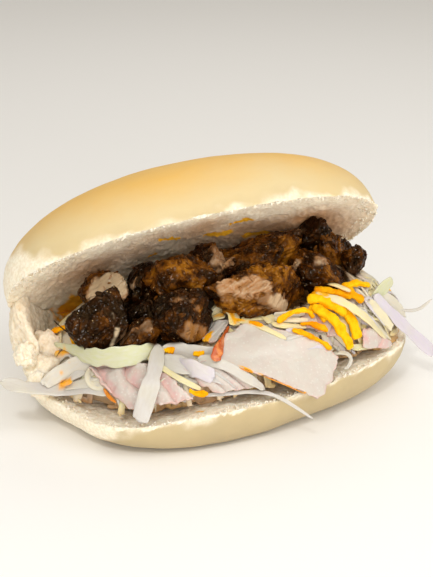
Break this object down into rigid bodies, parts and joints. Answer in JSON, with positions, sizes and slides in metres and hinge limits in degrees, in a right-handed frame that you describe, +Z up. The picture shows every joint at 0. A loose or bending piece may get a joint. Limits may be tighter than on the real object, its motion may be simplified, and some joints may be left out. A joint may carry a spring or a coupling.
{
  "type": "jerk chicken sandwich",
  "caption": "Soft white roll split open and filled with jerk chicken chunks, sliced ham, shredded cabbage and grated cheese.",
  "frame": {"origin": "middle of the roll's flat underside, on the surface it rests on", "axes": "+X along the roll towards its wider open end, -Y out of the open front, +Z up"},
  "size_m": [0.1789, 0.1044, 0.0975],
  "materials": {
    "bread": "soft baked crust with a matt, fluffy crumb",
    "chicken": "dark glazed and charred outside, paler fibrous cut faces",
    "cabbage": "moist, slightly translucent",
    "cheese": "smooth, slightly waxy",
    "ham": "moist, finely mottled"
  },
  "bodies": {
    "root": {"bread_roll": "bread", "slaw": "cabbage", "grated_cheese": "cheese", "jerk_chicken_1": "chicken", "jerk_chicken_2": "chicken", "jerk_chicken_3": "chicken", "jerk_chicken_4": "chicken", "jerk_chicken_5": "chicken", "jerk_chicken_6": "chicken", "jerk_chicken_7": "chicken", "jerk_chicken_8": "chicken", "jerk_chicken_9": "chicken", "jerk_chicken_10": "chicken", "jerk_chicken_11": "chicken", "jerk_chicken_12": "chicken", "jerk_chicken_13": "chicken", "jerk_chicken_14": "chicken", "jerk_chicken_15": "chicken", "jerk_chicken_16": "chicken", "jerk_chicken_17": "chicken", "ham_slice_large": "ham", "ham_fold_left": "ham", "ham_fold_middle": "ham", "ham_slice_right": "ham", "ham_slice_end": "ham", "ham_slice_top": "ham"}
  },
  "joints": []
}
